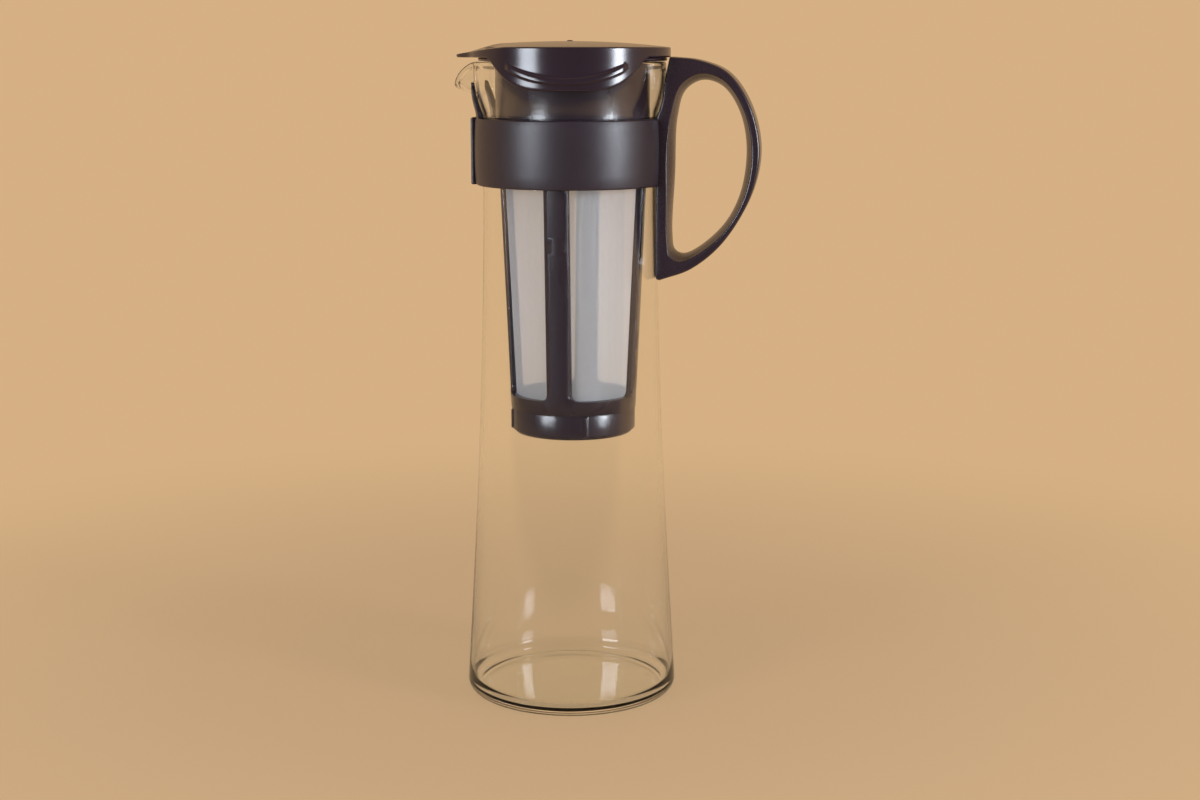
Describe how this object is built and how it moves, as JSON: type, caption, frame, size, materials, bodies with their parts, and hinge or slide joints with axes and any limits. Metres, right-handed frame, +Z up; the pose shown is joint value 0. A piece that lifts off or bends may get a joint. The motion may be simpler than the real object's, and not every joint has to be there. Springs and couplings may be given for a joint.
{
  "type": "cold brew coffee maker",
  "caption": "Tall blown glass jug with a spout, a banded side handle, a lidded lift-out mesh strainer and a twist-off strainer cap.",
  "frame": {"origin": "centre of the jug's flat base, on the jug's axis", "axes": "+Z up along the jug's axis, +X toward the handle, -X toward the spout"},
  "size_m": [0.1362, 0.0962, 0.2965],
  "materials": {
    "jug_glass": "clear blown borosilicate glass, fire-polished rim",
    "handle_plastic": "dark brown moulded polypropylene, smooth semi-gloss",
    "band_plastic": "dark brown moulded polypropylene, fine satin texture",
    "lid_plastic": "dark brown moulded polypropylene, glossy",
    "strainer_plastic": "dark brown moulded polypropylene, semi-gloss",
    "mesh_fabric": "fine white woven polyester, translucent"
  },
  "bodies": {
    "jug": {"glass_jug": "jug_glass", "handle": "handle_plastic", "neck_band": "band_plastic"},
    "clasp": {"band_clasp": "band_plastic"},
    "strainer": {"strainer_frame": "strainer_plastic", "filter_mesh": "mesh_fabric"},
    "cap": {"strainer_cap": "strainer_plastic"},
    "lid": {"lid": "lid_plastic"}
  },
  "joints": [
    {"name": "strainer_lift", "type": "slide", "parent": "jug", "child": "strainer", "axis": [0, 0, 1], "range_m": [0, 0.172]},
    {"name": "lid_lift", "type": "slide", "parent": "strainer", "child": "lid", "axis": [0, 0, 1], "range_m": [0, 0.04]},
    {"name": "cap_twist", "type": "hinge", "parent": "strainer", "child": "cap", "pos_m": [0.0012, 0, 0.1275], "axis": [0, 0, 1], "range_deg": [0, 25]},
    {"name": "clasp_slide", "type": "slide", "parent": "jug", "child": "clasp", "axis": [0, 0, -1], "range_m": [0, 0.031]}
  ]
}
